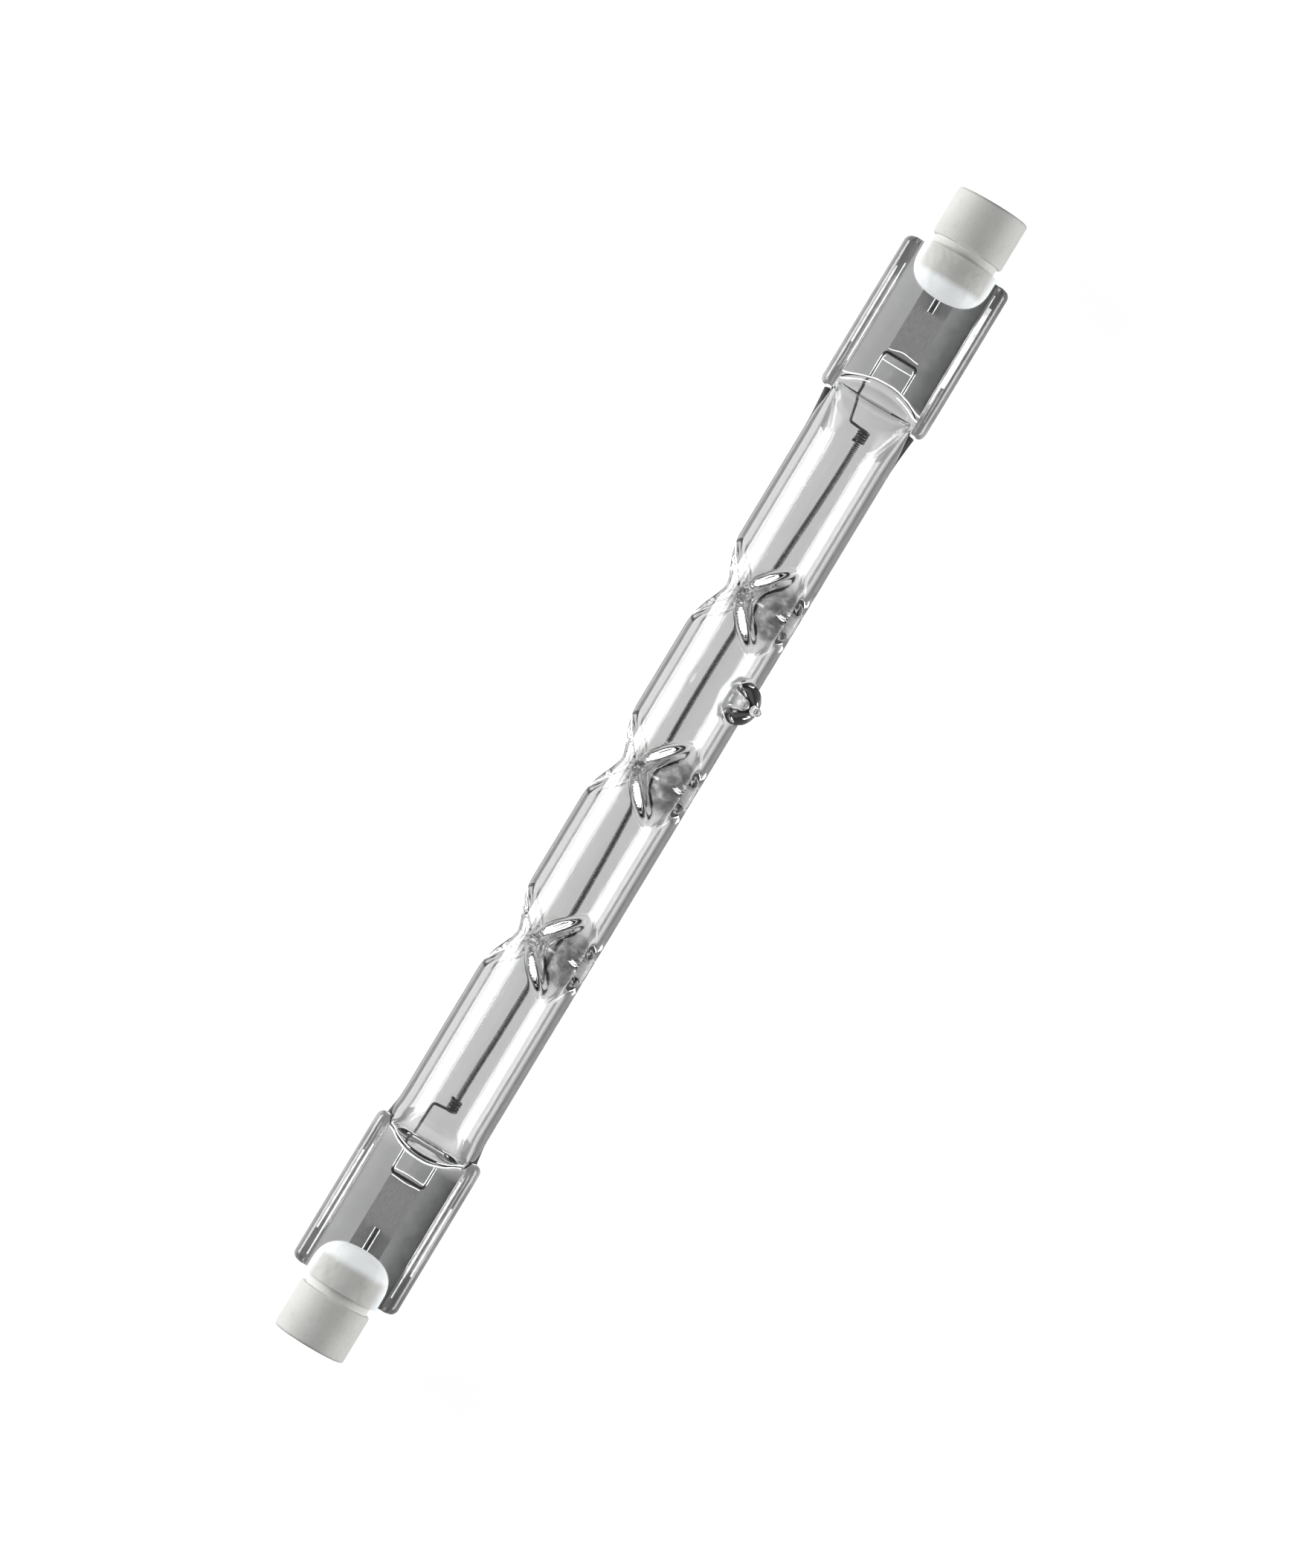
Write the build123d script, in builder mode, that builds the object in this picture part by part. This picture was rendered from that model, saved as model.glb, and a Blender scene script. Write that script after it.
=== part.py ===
# Double-ended linear halogen lamp, lying on its tube: a quartz envelope pressed flat at both ends,
# a coiled filament along its axis, foil seals, and ceramic end caps with recessed contacts.
# Millimetres. X runs along the lamp, Y across the flat seals, Z up, origin on the axis at mid-length.
import os
from math import cos, hypot, radians, sin, tan

from build123d import *

# Overall and tube
lamp_length = 117.6
tube_diameter = 8.66
wall = 1.0

# Flat press seals at the tube's two ends, with a rib along each long edge
cap_beyond_seal = 5.9
seal_length = 15.3
seal_width = 10.6
seal_corner_radius = 0.7
seal_edge_radius = 0.4
rib_thickness = 3.2
rib_width = 1.25
web_thickness = 2.2

# Necks, where the round tube widens and flattens: place from the seal's start, width and height
neck_sections = {
    "left": ((-1.9, 8.7, 8.6), (-0.9, 8.95, 7.9), (0.0, 9.2, 6.4), (0.9, 9.4, 4.9)),
    "right": ((-3.4, 8.7, 8.35), (-2.2, 8.85, 7.3), (-1.0, 9.05, 6.0), (0.6, 9.35, 4.6)),
}
neck_starts = {"left": -2.9, "right": -4.6}
cavity_reaches = {"left": 0.6, "right": 0.8}
cavity_end_height = 1.2
neck_end_height = 4.2

# Round jaws that press the necks' ends down to the web
jaw_reaches = {"left": 1.9, "right": 2.6}
jaw_radius = 6.2
jaw_slope = 62.0

# Dimples that hold the filament on the axis: three at each station, a third of a turn apart
dimple_stations = (-17.85, 0.0, 17.85)
dimple_count = 3
dimple_slope = 43.0
dimple_flat = 1.3
dimple_floor_radius = 1.55
dimple_side_radius = 3.2
dimple_crest_radius = 1.4
dimple_rim_radius = 1.0

# Sealed-off exhaust tip
tip_station = 9.5
tip_angle = 142.0
tip_base_radius = 1.9
tip_height = 2.6
tip_shoulder_height = 0.6
tip_nub_radius = 0.4
tip_foot_radius = 0.45
tip_bore_radius = 1.1

# Sealing foils
foil_width = 3.05
foil_thickness = 0.03
foil_insets = {"left": 4.15, "right": 5.15}
foil_end_margin = 1.9
weld_gap = 0.03

# Inner leads: a hairpin on the foil, a long leg into the tube, and clamp turns round the filament
lead_diameter = 0.26
lead_leg_spacing = 3.25
lead_overlap = 0.25
lead_short_leg_inset = 0.3
lead_bend_radius = 0.3
lead_reaches = {"left": 3.0, "right": 2.0}
lead_elbow_heights = {"left": 1.5, "right": 1.1}
clamp_turns = 3.5
clamp_pitch = 0.28
clamp_clearance = 0.01
clamp_tail = 0.6

# Filament: a fine coil, made as the round rod that its turns fill, waving a little along the tube
# Each wave is a share of the round tube's half length, and a height towards +Y
coil_diameter = 0.6
coil_overhang = 0.2
coil_end_heights = {"left": -0.2, "right": -0.48}
coil_bend_radius = 60.0
coil_waves = ((-0.78, -0.35), (-0.51, -0.42), (-0.27, -0.3), (0.015, 0.12), (0.27, 0.28), (0.55, 0.1))

# Outer leads
outer_lead_diameter = 0.65
outer_lead_overlaps = {"left": 4.1, "right": 3.2}

# Ceramic caps, slotted at the neck to straddle the seal
cap_diameter = 7.0
cap_body_length = 4.7
cap_edge_radius = 0.25
cap_neck_diameter = 6.2
cap_seal_overlap = 2.1
cap_core_diameter = 2.6
slot_clearance = 0.15
slot_end_clearance = 0.3

# Contacts, seated flush in pockets at the bottom of the caps' recesses
recess_depth = 1.7
contact_diameter = 3.5
contact_thickness = 0.8
contact_clearance = 0.05
contact_stem_diameter = 1.5
contact_stem_length = 1.1
contact_edge = 0.15
recess_diameter = 4.0
recess_chamfer = 0.4

# Cement that bonds each cap to its seal
cement_reach = 1.8
cement_dome_length = 3.0
cement_cover = 0.7
cement_collar = 0.35

# Worked out from the sizes above
half_length = lamp_length / 2
tube_radius = tube_diameter / 2
bore_radius = tube_radius - wall
seal_end = half_length - cap_beyond_seal
seal_start = seal_end - seal_length
tube_ends = {end: seal_start + start for end, start in neck_starts.items()}
web_half = web_thickness / 2
rib_half = rib_thickness / 2
groove_width = seal_width - 2 * rib_width
shoulder_ends = {end: seal_start + reach for end, reach in jaw_reaches.items()}
cavity_ends = {end: seal_start + reach for end, reach in cavity_reaches.items()}
dimple_reach = dimple_flat / 2 + dimple_side_radius / tan(radians(dimple_slope))
tip_shoulder = tube_radius + tip_shoulder_height
tip_top = tube_radius + tip_height
foil_outer_end = seal_end - foil_end_margin
lead_radius = lead_diameter / 2
lead_level = foil_thickness / 2 + weld_gap + lead_radius
clamp_radius = coil_diameter / 2 + clamp_clearance + lead_radius
clamp_length = clamp_turns * clamp_pitch
outer_lead_radius = outer_lead_diameter / 2
outer_lead_level = foil_thickness / 2 + weld_gap + outer_lead_radius
coil_ends = {end: seal_start - reach for end, reach in lead_reaches.items()}
contact_face = half_length - recess_depth
contact_back = contact_face - contact_thickness
stem_end = contact_back - contact_stem_length
recess_radius = recess_diameter / 2
contact_radius = contact_diameter / 2
pocket_radius = contact_radius + contact_clearance
stem_radius = contact_stem_diameter / 2
cap_radius = cap_diameter / 2
cap_shoulder = half_length - cap_body_length
cap_neck_end = seal_end - cap_seal_overlap
neck_radius = cap_neck_diameter / 2
core_radius = cap_core_diameter / 2
slot_half = web_half + slot_clearance
slot_end = seal_end + slot_end_clearance
cement_radius = neck_radius + cement_cover
cement_apex = cap_neck_end - cement_reach
cement_dome_end = cement_apex + cement_dome_length
cement_end = seal_end + cement_collar
jaw_height = tube_radius
past = 1.0

sides = {"left": -1, "right": 1}
lamp_axis = Axis.X


def across(x):
    """A plane square to the lamp at x: local x axis to -Y, clear of the dimples, and local y axis to -Z."""
    return Plane(origin=(x, 0, 0), x_dir=(0, -1, 0), z_dir=(1, 0, 0))


def radial_plane(station, angle):
    """A plane at a station: local x along the lamp, local y outwards at the angle from +Y to +Z."""
    return Plane(
        origin=(station, 0, 0),
        x_dir=(1, 0, 0),
        z_dir=(0, -sin(radians(angle)), cos(radians(angle))),
    )


def on_round_wall(edge, radius):
    """Whether a short edge lies on the round wall of the given radius."""
    spots = [edge @ share for share in (0.1, 0.5, 0.9)]
    level = all(abs(hypot(spot.Y, spot.Z) - radius) < 0.01 for spot in spots)
    return level and edge.length < 2 * tube_diameter


os.makedirs("parts", exist_ok=True)

# Pieces of the two ends that the quartz is sealed round
sealed_in = []
for end, side in sides.items():
    # Foil, flat in the middle of the seal
    foil_inner_end = seal_start + foil_insets[end]
    with BuildPart() as foil:
        with BuildSketch(Plane.XY.offset(-foil_thickness / 2)):
            with Locations((side * (foil_inner_end + foil_outer_end) / 2, 0)):
                Rectangle(foil_outer_end - foil_inner_end, foil_width)
        extrude(amount=foil_thickness)
    foil.part.label = f"foil_{end}"
    export_step(foil.part, f"parts/foil_{end}.step")

    # Inner lead, one wire: hairpin over the foil, leg, clamp turns round the filament, and a tail
    winding = Plane(
        origin=(side * coil_ends[end], coil_end_heights[end], 0),
        x_dir=(0, 0, 1),
        z_dir=(-side, 0, 0),
    )
    clamp = winding * Helix(clamp_pitch, clamp_length, clamp_radius, lefthand=side > 0)
    arriving = clamp % 0
    leaving = clamp % 1
    leg = lead_leg_spacing / 2
    lead_bridge = foil_inner_end + lead_overlap - lead_radius
    lead_short_leg_end = shoulder_ends[end] + lead_short_leg_inset
    elbow_drop = lead_elbow_heights[end] - coil_end_heights[end]
    with BuildLine() as route:
        FilletPolyline(
            (side * lead_short_leg_end, -leg, lead_level),
            (side * lead_bridge, -leg, lead_level),
            (side * lead_bridge, leg, lead_level),
            (side * cavity_ends[end], leg, lead_level),
            clamp @ 0 - arriving * elbow_drop,
            clamp @ 0,
            radius=lead_bend_radius,
        )
        add(clamp)
        Line(clamp @ 1, clamp @ 1 + leaving * clamp_tail)
    with BuildPart() as inner_lead:
        with BuildSketch(Plane(origin=route.line @ 0, z_dir=route.line % 0)):
            Circle(lead_radius)
        sweep(path=route.line)
    inner_lead.part.label = f"inner_lead_{end}"
    export_step(inner_lead.part, f"parts/inner_lead_{end}.step")

    # Outer lead, on the foil's upper face, out to the contact's stem
    outer_lead_start = foil_outer_end - outer_lead_overlaps[end]
    with BuildPart() as outer_lead:
        with BuildSketch(across(side * outer_lead_start)):
            with Locations((0, -outer_lead_level)):
                Circle(outer_lead_radius)
        extrude(amount=side * (stem_end - outer_lead_start))
    outer_lead.part.label = f"outer_lead_{end}"
    export_step(outer_lead.part, f"parts/outer_lead_{end}.step")
    sealed_in += [foil.part, inner_lead.part, outer_lead.part]

# The three dimples of each station, and the cutters for their outer and inner faces
cutter_centre = dimple_floor_radius + dimple_side_radius


def dimple_cutter(growth):
    """A double cone round a line beyond the tube's +Y side, grown all over by a distance."""
    side_radius = dimple_side_radius + growth
    flat = dimple_flat / 2 + growth * tan(radians(dimple_slope) / 2)
    reach = flat + side_radius / tan(radians(dimple_slope))
    with BuildPart() as cutter:
        with BuildSketch():
            with BuildLine():
                crest = FilletPolyline(
                    (-reach, cutter_centre),
                    (-flat, cutter_centre + side_radius),
                    (flat, cutter_centre + side_radius),
                    (reach, cutter_centre),
                    radius=dimple_crest_radius + growth,
                )
                Line(crest @ 1, crest @ 0)
            make_face()
        revolve(axis=Axis((0, cutter_centre, 0), (1, 0, 0)))
    return cutter.part



def neck(end, inset, last_place, last_height):
    """The neck at one end, set in by a distance all round, closed off at a last place and height."""
    side = sides[end]
    sections = [(tube_ends[end], tube_diameter, tube_diameter)]
    for place, width, height in neck_sections[end]:
        if seal_start + place < last_place:
            sections.append((seal_start + place, width, height))
    sections.append((last_place, sections[-1][1], last_height + 2 * inset))
    with BuildPart() as made:
        for x, width, height in sections:
            with BuildSketch(across(side * x)):
                Ellipse(width / 2 - inset, height / 2 - inset)
        loft()
    return made.part


def jaw_cutter(end, width, level):
    """Cuts one end down to a level over a width, beyond a cone on a vertical axis in the neck."""
    side = sides[end]
    far = seal_end + past
    jaw_centre = shoulder_ends[end] - jaw_radius
    level_radius = jaw_radius - (level - web_half) / tan(radians(jaw_slope))
    top_radius = level_radius - jaw_height / tan(radians(jaw_slope))
    standing = (Align.CENTER, Align.CENTER, Align.MIN)
    with BuildPart() as cutter:
        with Locations((side * (jaw_centre + far) / 2, 0, level)):
            Box(far - jaw_centre, width, jaw_height, align=standing)
        with Locations((side * jaw_centre, 0, level)):
            Cone(level_radius, top_radius, jaw_height, align=standing, mode=Mode.SUBTRACT)
        mirror(about=Plane.XY)
    return cutter.part


dimple_planes = [
    radial_plane(station, 360 / dimple_count * number)
    for station in dimple_stations
    for number in range(dimple_count)
]

# Space inside the tube, which the envelope is hollowed by; the wall keeps its thickness in the shoulders
with BuildPart() as cavity:
    with BuildSketch(across(-tube_ends["left"])):
        Circle(bore_radius)
    extrude(amount=tube_ends["left"] + tube_ends["right"])
    with Locations(*dimple_planes):
        add(dimple_cutter(wall), mode=Mode.SUBTRACT)
    for end in sides:
        add(neck(end, wall, cavity_ends[end], cavity_end_height))
    with BuildSketch(radial_plane(tip_station, tip_angle)):
        with BuildLine():
            Polyline(
                (0, 0),
                (tip_bore_radius, 0),
                (tip_bore_radius, bore_radius),
                (0, tube_radius + tip_height / 2),
                close=True,
            )
        make_face()
    tip_axis = Axis(
        (tip_station, 0, 0), (0, cos(radians(tip_angle)), sin(radians(tip_angle)))
    )
    revolve(axis=tip_axis)

# Plates that the two ends are pressed into, before their webs are pressed thinner
with BuildPart() as seal_plates:
    with BuildSketch(Plane.XY.offset(-rib_half)):
        with Locations(*[(side * (seal_start + seal_end) / 2, 0) for side in sides.values()]):
            RectangleRounded(seal_end - seal_start, seal_width, seal_corner_radius)
    extrude(amount=rib_thickness)
    fillet(seal_plates.faces().filter_by(Axis.Z).edges(), seal_edge_radius)

with BuildPart() as quartz_envelope:
    with BuildSketch(across(-tube_ends["left"])):
        Circle(tube_radius)
    extrude(amount=tube_ends["left"] + tube_ends["right"])
    # Exhaust tip
    with BuildSketch(radial_plane(tip_station, tip_angle)):
        with BuildLine():
            Line((0, bore_radius), (tip_base_radius, bore_radius))
            Line((tip_base_radius, bore_radius), (tip_base_radius, tip_shoulder))
            Spline(
                (tip_base_radius, tip_shoulder),
                (tip_nub_radius, tip_top - tip_nub_radius),
                tangents=((0, 1), (0, 1)),
            )
            RadiusArc(
                (tip_nub_radius, tip_top - tip_nub_radius), (0, tip_top), -tip_nub_radius
            )
            Line((0, tip_top), (0, bore_radius))
        make_face()
    revolve(axis=tip_axis)
    foot = [
        edge
        for edge in quartz_envelope.edges()
        if on_round_wall(edge, tube_radius) and abs(edge.center().X - tip_station) < tip_base_radius + past
    ]
    fillet(foot, tip_foot_radius)
    with Locations(*dimple_planes):
        add(dimple_cutter(0), mode=Mode.SUBTRACT)
    rims = [
        edge
        for edge in quartz_envelope.edges()
        if on_round_wall(edge, tube_radius)
        and min(abs(edge.center().X - station) for station in dimple_stations) < dimple_reach
    ]
    fillet(rims, dimple_rim_radius)
    for end in sides:
        add(neck(end, 0, shoulder_ends[end], neck_end_height))
    add(seal_plates.part)
    # Shoulders, pressed down to the ribs at the sides and to the webs between them
    for end in sides:
        for width, level in ((seal_width, rib_half), (groove_width, web_half)):
            add(jaw_cutter(end, width, level), mode=Mode.SUBTRACT)
    add(cavity.part, mode=Mode.SUBTRACT)
    for piece in sealed_in:
        add(piece, mode=Mode.SUBTRACT)

quartz_envelope.part.label = "quartz_envelope"
export_step(quartz_envelope.part, "parts/quartz_envelope.step")

# Filament, held in the clamp turns at its two ends
with BuildPart() as filament:
    with BuildLine() as coil_line:
        FilletPolyline(
            (-coil_ends["left"] - coil_overhang, coil_end_heights["left"]),
            (-coil_ends["left"] + clamp_length + past, coil_end_heights["left"]),
            *[(share * tube_ends["right"], height) for share, height in coil_waves],
            (coil_ends["right"] - clamp_length - past, coil_end_heights["right"]),
            (coil_ends["right"] + coil_overhang, coil_end_heights["right"]),
            radius=coil_bend_radius,
        )
    with BuildSketch(Plane(origin=coil_line.line @ 0, z_dir=coil_line.line % 0)):
        Circle(coil_diameter / 2)
    sweep(path=coil_line.line)
filament.part.label = "filament"
export_step(filament.part, "parts/filament.step")

for end, side in sides.items():
    # Ceramic cap: body, neck, core hole and contact recess, then the slot for the seal
    with BuildPart() as ceramic_cap:
        with BuildSketch():
            with BuildLine():
                Polyline(
                    (side * cap_neck_end, core_radius),
                    (side * cap_neck_end, neck_radius),
                    (side * cap_shoulder, neck_radius),
                    (side * cap_shoulder, cap_radius),
                    (side * half_length, cap_radius),
                    (side * half_length, recess_radius + recess_chamfer),
                    (side * (half_length - recess_chamfer), recess_radius),
                    (side * contact_face, recess_radius),
                    (side * contact_face, pocket_radius),
                    (side * contact_back, pocket_radius),
                    (side * contact_back, core_radius),
                    close=True,
                )
            make_face()
        revolve(axis=lamp_axis)
        rims = [
            edge
            for edge in ceramic_cap.edges().filter_by(GeomType.CIRCLE)
            if abs(edge.radius - cap_radius) < 0.01
        ]
        fillet(rims, cap_edge_radius)
        with BuildSketch(Plane.XZ):
            with Locations((side * (cap_neck_end + slot_end) / 2, 0)):
                Rectangle(slot_end - cap_neck_end, 2 * slot_half)
        extrude(amount=cap_radius + past, both=True, mode=Mode.SUBTRACT)
    ceramic_cap.part.label = f"ceramic_cap_{end}"
    export_step(ceramic_cap.part, f"parts/ceramic_cap_{end}.step")

    # Contact: a button on the recess's floor, with a stem that the outer lead is welded to
    with BuildPart() as contact:
        with BuildSketch():
            with BuildLine():
                Polyline(
                    (side * stem_end, 0),
                    (side * stem_end, stem_radius),
                    (side * contact_back, stem_radius),
                    (side * contact_back, contact_radius),
                    (side * (contact_face - contact_edge), contact_radius),
                    (side * contact_face, contact_radius - contact_edge),
                    (side * contact_face, 0),
                    close=True,
                )
            make_face()
        revolve(axis=lamp_axis)
    contact.part.label = f"contact_{end}"
    export_step(contact.part, f"parts/contact_{end}.step")

    # Cement: a dome on each face of the seal, joined through the slot and the cap's core
    with BuildPart() as cement:
        with BuildSketch():
            with BuildLine():
                Spline(
                    (side * cement_apex, 0),
                    (side * cement_dome_end, cement_radius),
                    tangents=((0, 1), (side, 0)),
                )
                Polyline(
                    (side * cement_dome_end, cement_radius),
                    (side * cement_end, cement_radius),
                    (side * cement_end, core_radius),
                    (side * contact_back, core_radius),
                    (side * contact_back, 0),
                    (side * cement_apex, 0),
                )
            make_face()
        revolve(axis=lamp_axis)
        for neighbour in (quartz_envelope, ceramic_cap, contact):
            add(neighbour.part, mode=Mode.SUBTRACT)
        for piece in sealed_in:
            add(piece, mode=Mode.SUBTRACT)
    cement.part.label = f"cement_{end}"
    export_step(cement.part, f"parts/cement_{end}.step")
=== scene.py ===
import math

import bpy
import numpy as np
from mathutils import Matrix, Vector


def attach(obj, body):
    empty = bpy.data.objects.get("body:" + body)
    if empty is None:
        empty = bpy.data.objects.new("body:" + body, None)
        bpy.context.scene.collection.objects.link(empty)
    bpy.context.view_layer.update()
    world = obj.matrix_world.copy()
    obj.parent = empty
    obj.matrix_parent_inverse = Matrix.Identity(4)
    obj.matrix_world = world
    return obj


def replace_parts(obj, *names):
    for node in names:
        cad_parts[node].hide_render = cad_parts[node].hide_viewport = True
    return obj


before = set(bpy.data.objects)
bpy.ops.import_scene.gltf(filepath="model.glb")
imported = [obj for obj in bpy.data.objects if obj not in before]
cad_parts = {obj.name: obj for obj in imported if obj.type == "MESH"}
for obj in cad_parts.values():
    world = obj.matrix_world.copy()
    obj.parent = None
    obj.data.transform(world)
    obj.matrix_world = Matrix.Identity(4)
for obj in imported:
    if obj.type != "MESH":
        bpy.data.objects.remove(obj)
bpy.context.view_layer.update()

MM = 0.001

# Sizes of the quartz envelope, in millimetres, as the solid has them
TUBE_R = 4.33
WALL = 1.0
BORE_R = TUBE_R - WALL
SEAL_START = 37.6
SEAL_END = 52.9
SEAL_HALF_WIDTH = 5.3
SEAL_CORNER = 0.7
RIB_HALF = 1.6
RIB_WIDTH = 1.25
WEB_HALF = 1.1
JAW_R = 6.2
JAW_SLOPE = math.tan(math.radians(62.0))
SHOULDER_END = {-1: SEAL_START + 1.9, 1: SEAL_START + 2.6}

# Necks: place along X, half width and half height, for the left end and the right end
NECK = {
    -1: ((34.7, 4.33, 4.33), (35.7, 4.35, 4.3), (36.7, 4.475, 3.95), (37.6, 4.6, 3.2), (38.5, 4.7, 2.45),
         (39.5, 4.7, 2.1), (41.5, 4.7, 1.0)),
    1: ((33.0, 4.33, 4.33), (34.2, 4.35, 4.175), (35.4, 4.425, 3.65), (36.6, 4.525, 3.0), (38.2, 4.675, 2.3),
        (40.2, 4.675, 2.1), (42.2, 4.675, 1.0)),
}
CAVITY = {
    -1: ((34.7, 3.33, 3.33), (35.7, 3.35, 3.3), (36.7, 3.475, 2.95), (37.6, 3.6, 2.2), (38.2, 3.6, 0.6)),
    1: ((33.0, 3.33, 3.33), (34.2, 3.35, 3.175), (35.4, 3.425, 2.65), (36.6, 3.525, 2.0), (38.2, 3.675, 1.1),
        (38.4, 3.675, 0.6)),
}

# Dimples: stations along X, and directions round the tube from +Y towards +Z
STATIONS = (-17.85, 0.0, 17.85)
DIMPLE_ANGLES = (0.0, 120.0, 240.0)
DIMPLE_SLOPE = math.tan(math.radians(43.0))
DIMPLE_FLAT = 0.65
DIMPLE_SIDE_R = 3.2
DIMPLE_CENTRE = 1.55 + DIMPLE_SIDE_R

# Exhaust tip
TIP_X = 9.5
TIP_ANGLE = 142.0
TIP_BASE_R = 1.9
TIP_SHOULDER = TUBE_R + 0.6
TIP_TOP = TUBE_R + 2.6
TIP_NUB_R = 0.4
TIP_BORE_R = 1.1

# Seals' metal: foils' inner ends, painted highlights along the gaps across the hairpins' ends as places along
# X and Y, and outer leads
FOIL_INNER = {-1: 41.75, 1: 42.75}
BRIDGE_HIGHLIGHTS = {
    -1: (((41.5, 1.5), (41.42, 0.2), (41.5, -1.5)), ((42.1, 1.45), (42.2, 0), (42.1, -1.45))),
    1: (((42.12, 1.5), (42.1, 0), (42.12, -1.5)), ((43.2, 1.5), (43.5, 0.15), (43.32, -1.45))),
}
LEAD_LEG = 1.625
OUTER_LEAD_START = {-1: 46.9, 1: 47.8}
OUTER_LEAD_SHOWN_TO = 50.6
OUTER_LEAD_R = 0.325

# Painted highlights in the seals, as glowing strips: width of the strips, and height above the middle plane
GAP_HIGHLIGHT_WIDTH = 0.09
MARK_HIGHLIGHT_WIDTH = 0.16
GAP_FROM_LEG = 0.105
HAIRPIN_GAP_LEVEL = 0.29
OUTER_LEAD_GAP_LEVEL = 0.71
JAW_HIGHLIGHT_LEVEL = 1.0
RIB_HIGHLIGHT_LEVEL = 0.95
RIB_HIGHLIGHT_PARTS = 8

# Filament: its line, as places along X and heights towards +Y
COIL_LINE = ((-34.8, -0.2), (-32.6, -0.2), (-25.74, -0.35), (-16.83, -0.42), (-8.91, -0.3), (0.5, 0.12),
             (8.91, 0.28), (18.15, 0.1), (33.6, -0.48), (35.8, -0.48))
COIL_R = 0.3
COIL_WIRE_R = 0.05
COIL_PITCH = 0.165
COIL_OPEN_PITCH = 0.36
COIL_POINTS_PER_TURN = 10
COIL_SIDES = 5

# Painted highlights along the edges of the press jaws' cut in each seal, as places along X and Y
JAW_HIGHLIGHTS = {
    -1: (((38.5, 3.8), (39.25, 2.4), (39.7, 1.0), (39.75, -0.3), (39.3, -2.0), (38.5, -3.6)),
         ((38.1, 3.7), (38.75, 2.5), (39.1, 1.2)), ((38.95, -1.4), (38.6, -2.5), (38.1, -3.6))),
    1: (((39.4, 4.0), (39.95, 2.2), (40.3, 0.8), (40.35, -0.5), (40.0, -2.2), (39.35, -4.0)),
        ((38.75, 3.9), (39.25, 2.4), (39.5, 1.3)), ((39.5, -1.3), (39.25, -2.5), (38.85, -4.0))),
}

# Painted highlights along the ribs: from and to along X, and place along Y
RIB_HIGHLIGHTS = {
    -1: ((40.6, 52.0, 4.3), (41.5, 49.5, 4.6), (39.6, 51.5, -4.3), (42.0, 49.0, -4.65)),
    1: ((40.4, 50.4, 4.2), (42.0, 49.8, 4.6), (40.8, 52.0, -4.25), (42.6, 50.8, -4.42)),
}

# Points round the envelope's outer and inner skins
OUTER_COUNT = 168
INNER_COUNT = 112

# Floor and sky: their own tones, and the levels at which the camera sees them as white
FLOOR_SIZE = 3.0
FLOOR_TONE = 0.28
FLOOR_WHITE = 0.92
SKY_STRENGTH = 0.03
SKY_WHITE = 0.95

# What glass and metal see of the sky: (height of the direction, level)
SEEN_SKY = ((0, 0.3), (0.04, 0.4), (0.08, 2.0), (0.42, 2.0), (0.48, 0.35), (1, 0.3))

# What glass and metal see of the floor, with the lamp's shadows painted in, grey under it and dark in a band
# along each side: (millimetres along Y, level), over a reach in millimetres each way
SEEN_REACH = 14
FLOOR_PAINTED_SHADOWS = (
    (-14, 0.6), (-10.5, 0.55), (-8.6, 0.33), (-7.4, 0.0), (-5.0, 0.0), (-4.2, 0.02), (-3.5, 0.15),
    (-2.4, 0.3), (0.5, 0.35), (2.4, 0.33), (3.4, 0.38), (3.9, 0.3), (4.3, 0.03), (6.2, 0.03), (6.9, 0.62),
    (14, 0.62),
)

# Soft boxes, one along each side of the lamp: name, place along Y in metres, and radiance
BOX_SIZE = (0.24, 0.21)
BOX_RISE = 0.105
BOXES = (("box_left", 0.40, 12), ("box_right", -0.40, 8.5))


def smooth_min(a, b, k):
    """The smaller of two fields, with their meeting line rounded over a width k."""
    h = np.clip(0.5 + 0.5 * (b - a) / k, 0, 1)
    return b * (1 - h) + a * h - k * h * (1 - h)


def smooth_max(a, b, k):
    """The larger of two fields, rounded in the same way."""
    return -smooth_min(-a, -b, k)


def ramp(x, low, high):
    """0 below low, 1 above high, smooth between."""
    t = np.clip((x - low) / (high - low), 0, 1)
    return t * t * (3 - 2 * t)


def turned(y, z, angle):
    """Height along a direction round the tube, in degrees from +Y towards +Z, and distance aside from it."""
    c, s = math.cos(math.radians(angle)), math.sin(math.radians(angle))
    return y * c + z * s, -y * s + z * c


def curve_through(x, points):
    """A smooth curve through points given by rising x, which never overshoots them."""
    xs = np.array([p[0] for p in points])
    ys = np.array([p[1] for p in points])
    steps_x, slopes = np.diff(xs), np.diff(ys) / np.diff(xs)
    tangents = np.zeros(len(xs))
    for i in range(1, len(xs) - 1):
        if slopes[i - 1] * slopes[i] > 0:
            tangents[i] = 2 * slopes[i - 1] * slopes[i] / (slopes[i - 1] + slopes[i])
    x = np.clip(x, xs[0], xs[-1])
    i = np.clip(np.searchsorted(xs, x) - 1, 0, len(xs) - 2)
    t = (x - xs[i]) / steps_x[i]
    rise = ys[i + 1] - ys[i]
    start, end = tangents[i] * steps_x[i], tangents[i + 1] * steps_x[i]
    return ys[i] + start * t + (3 * rise - 2 * start - end) * t**2 + (start + end - 2 * rise) * t**3


def section(x, table):
    """Half width and half height of a neck at a place along X."""
    return (
        curve_through(x, [(row[0], row[1]) for row in table]),
        curve_through(x, [(row[0], row[2]) for row in table]),
    )


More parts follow.
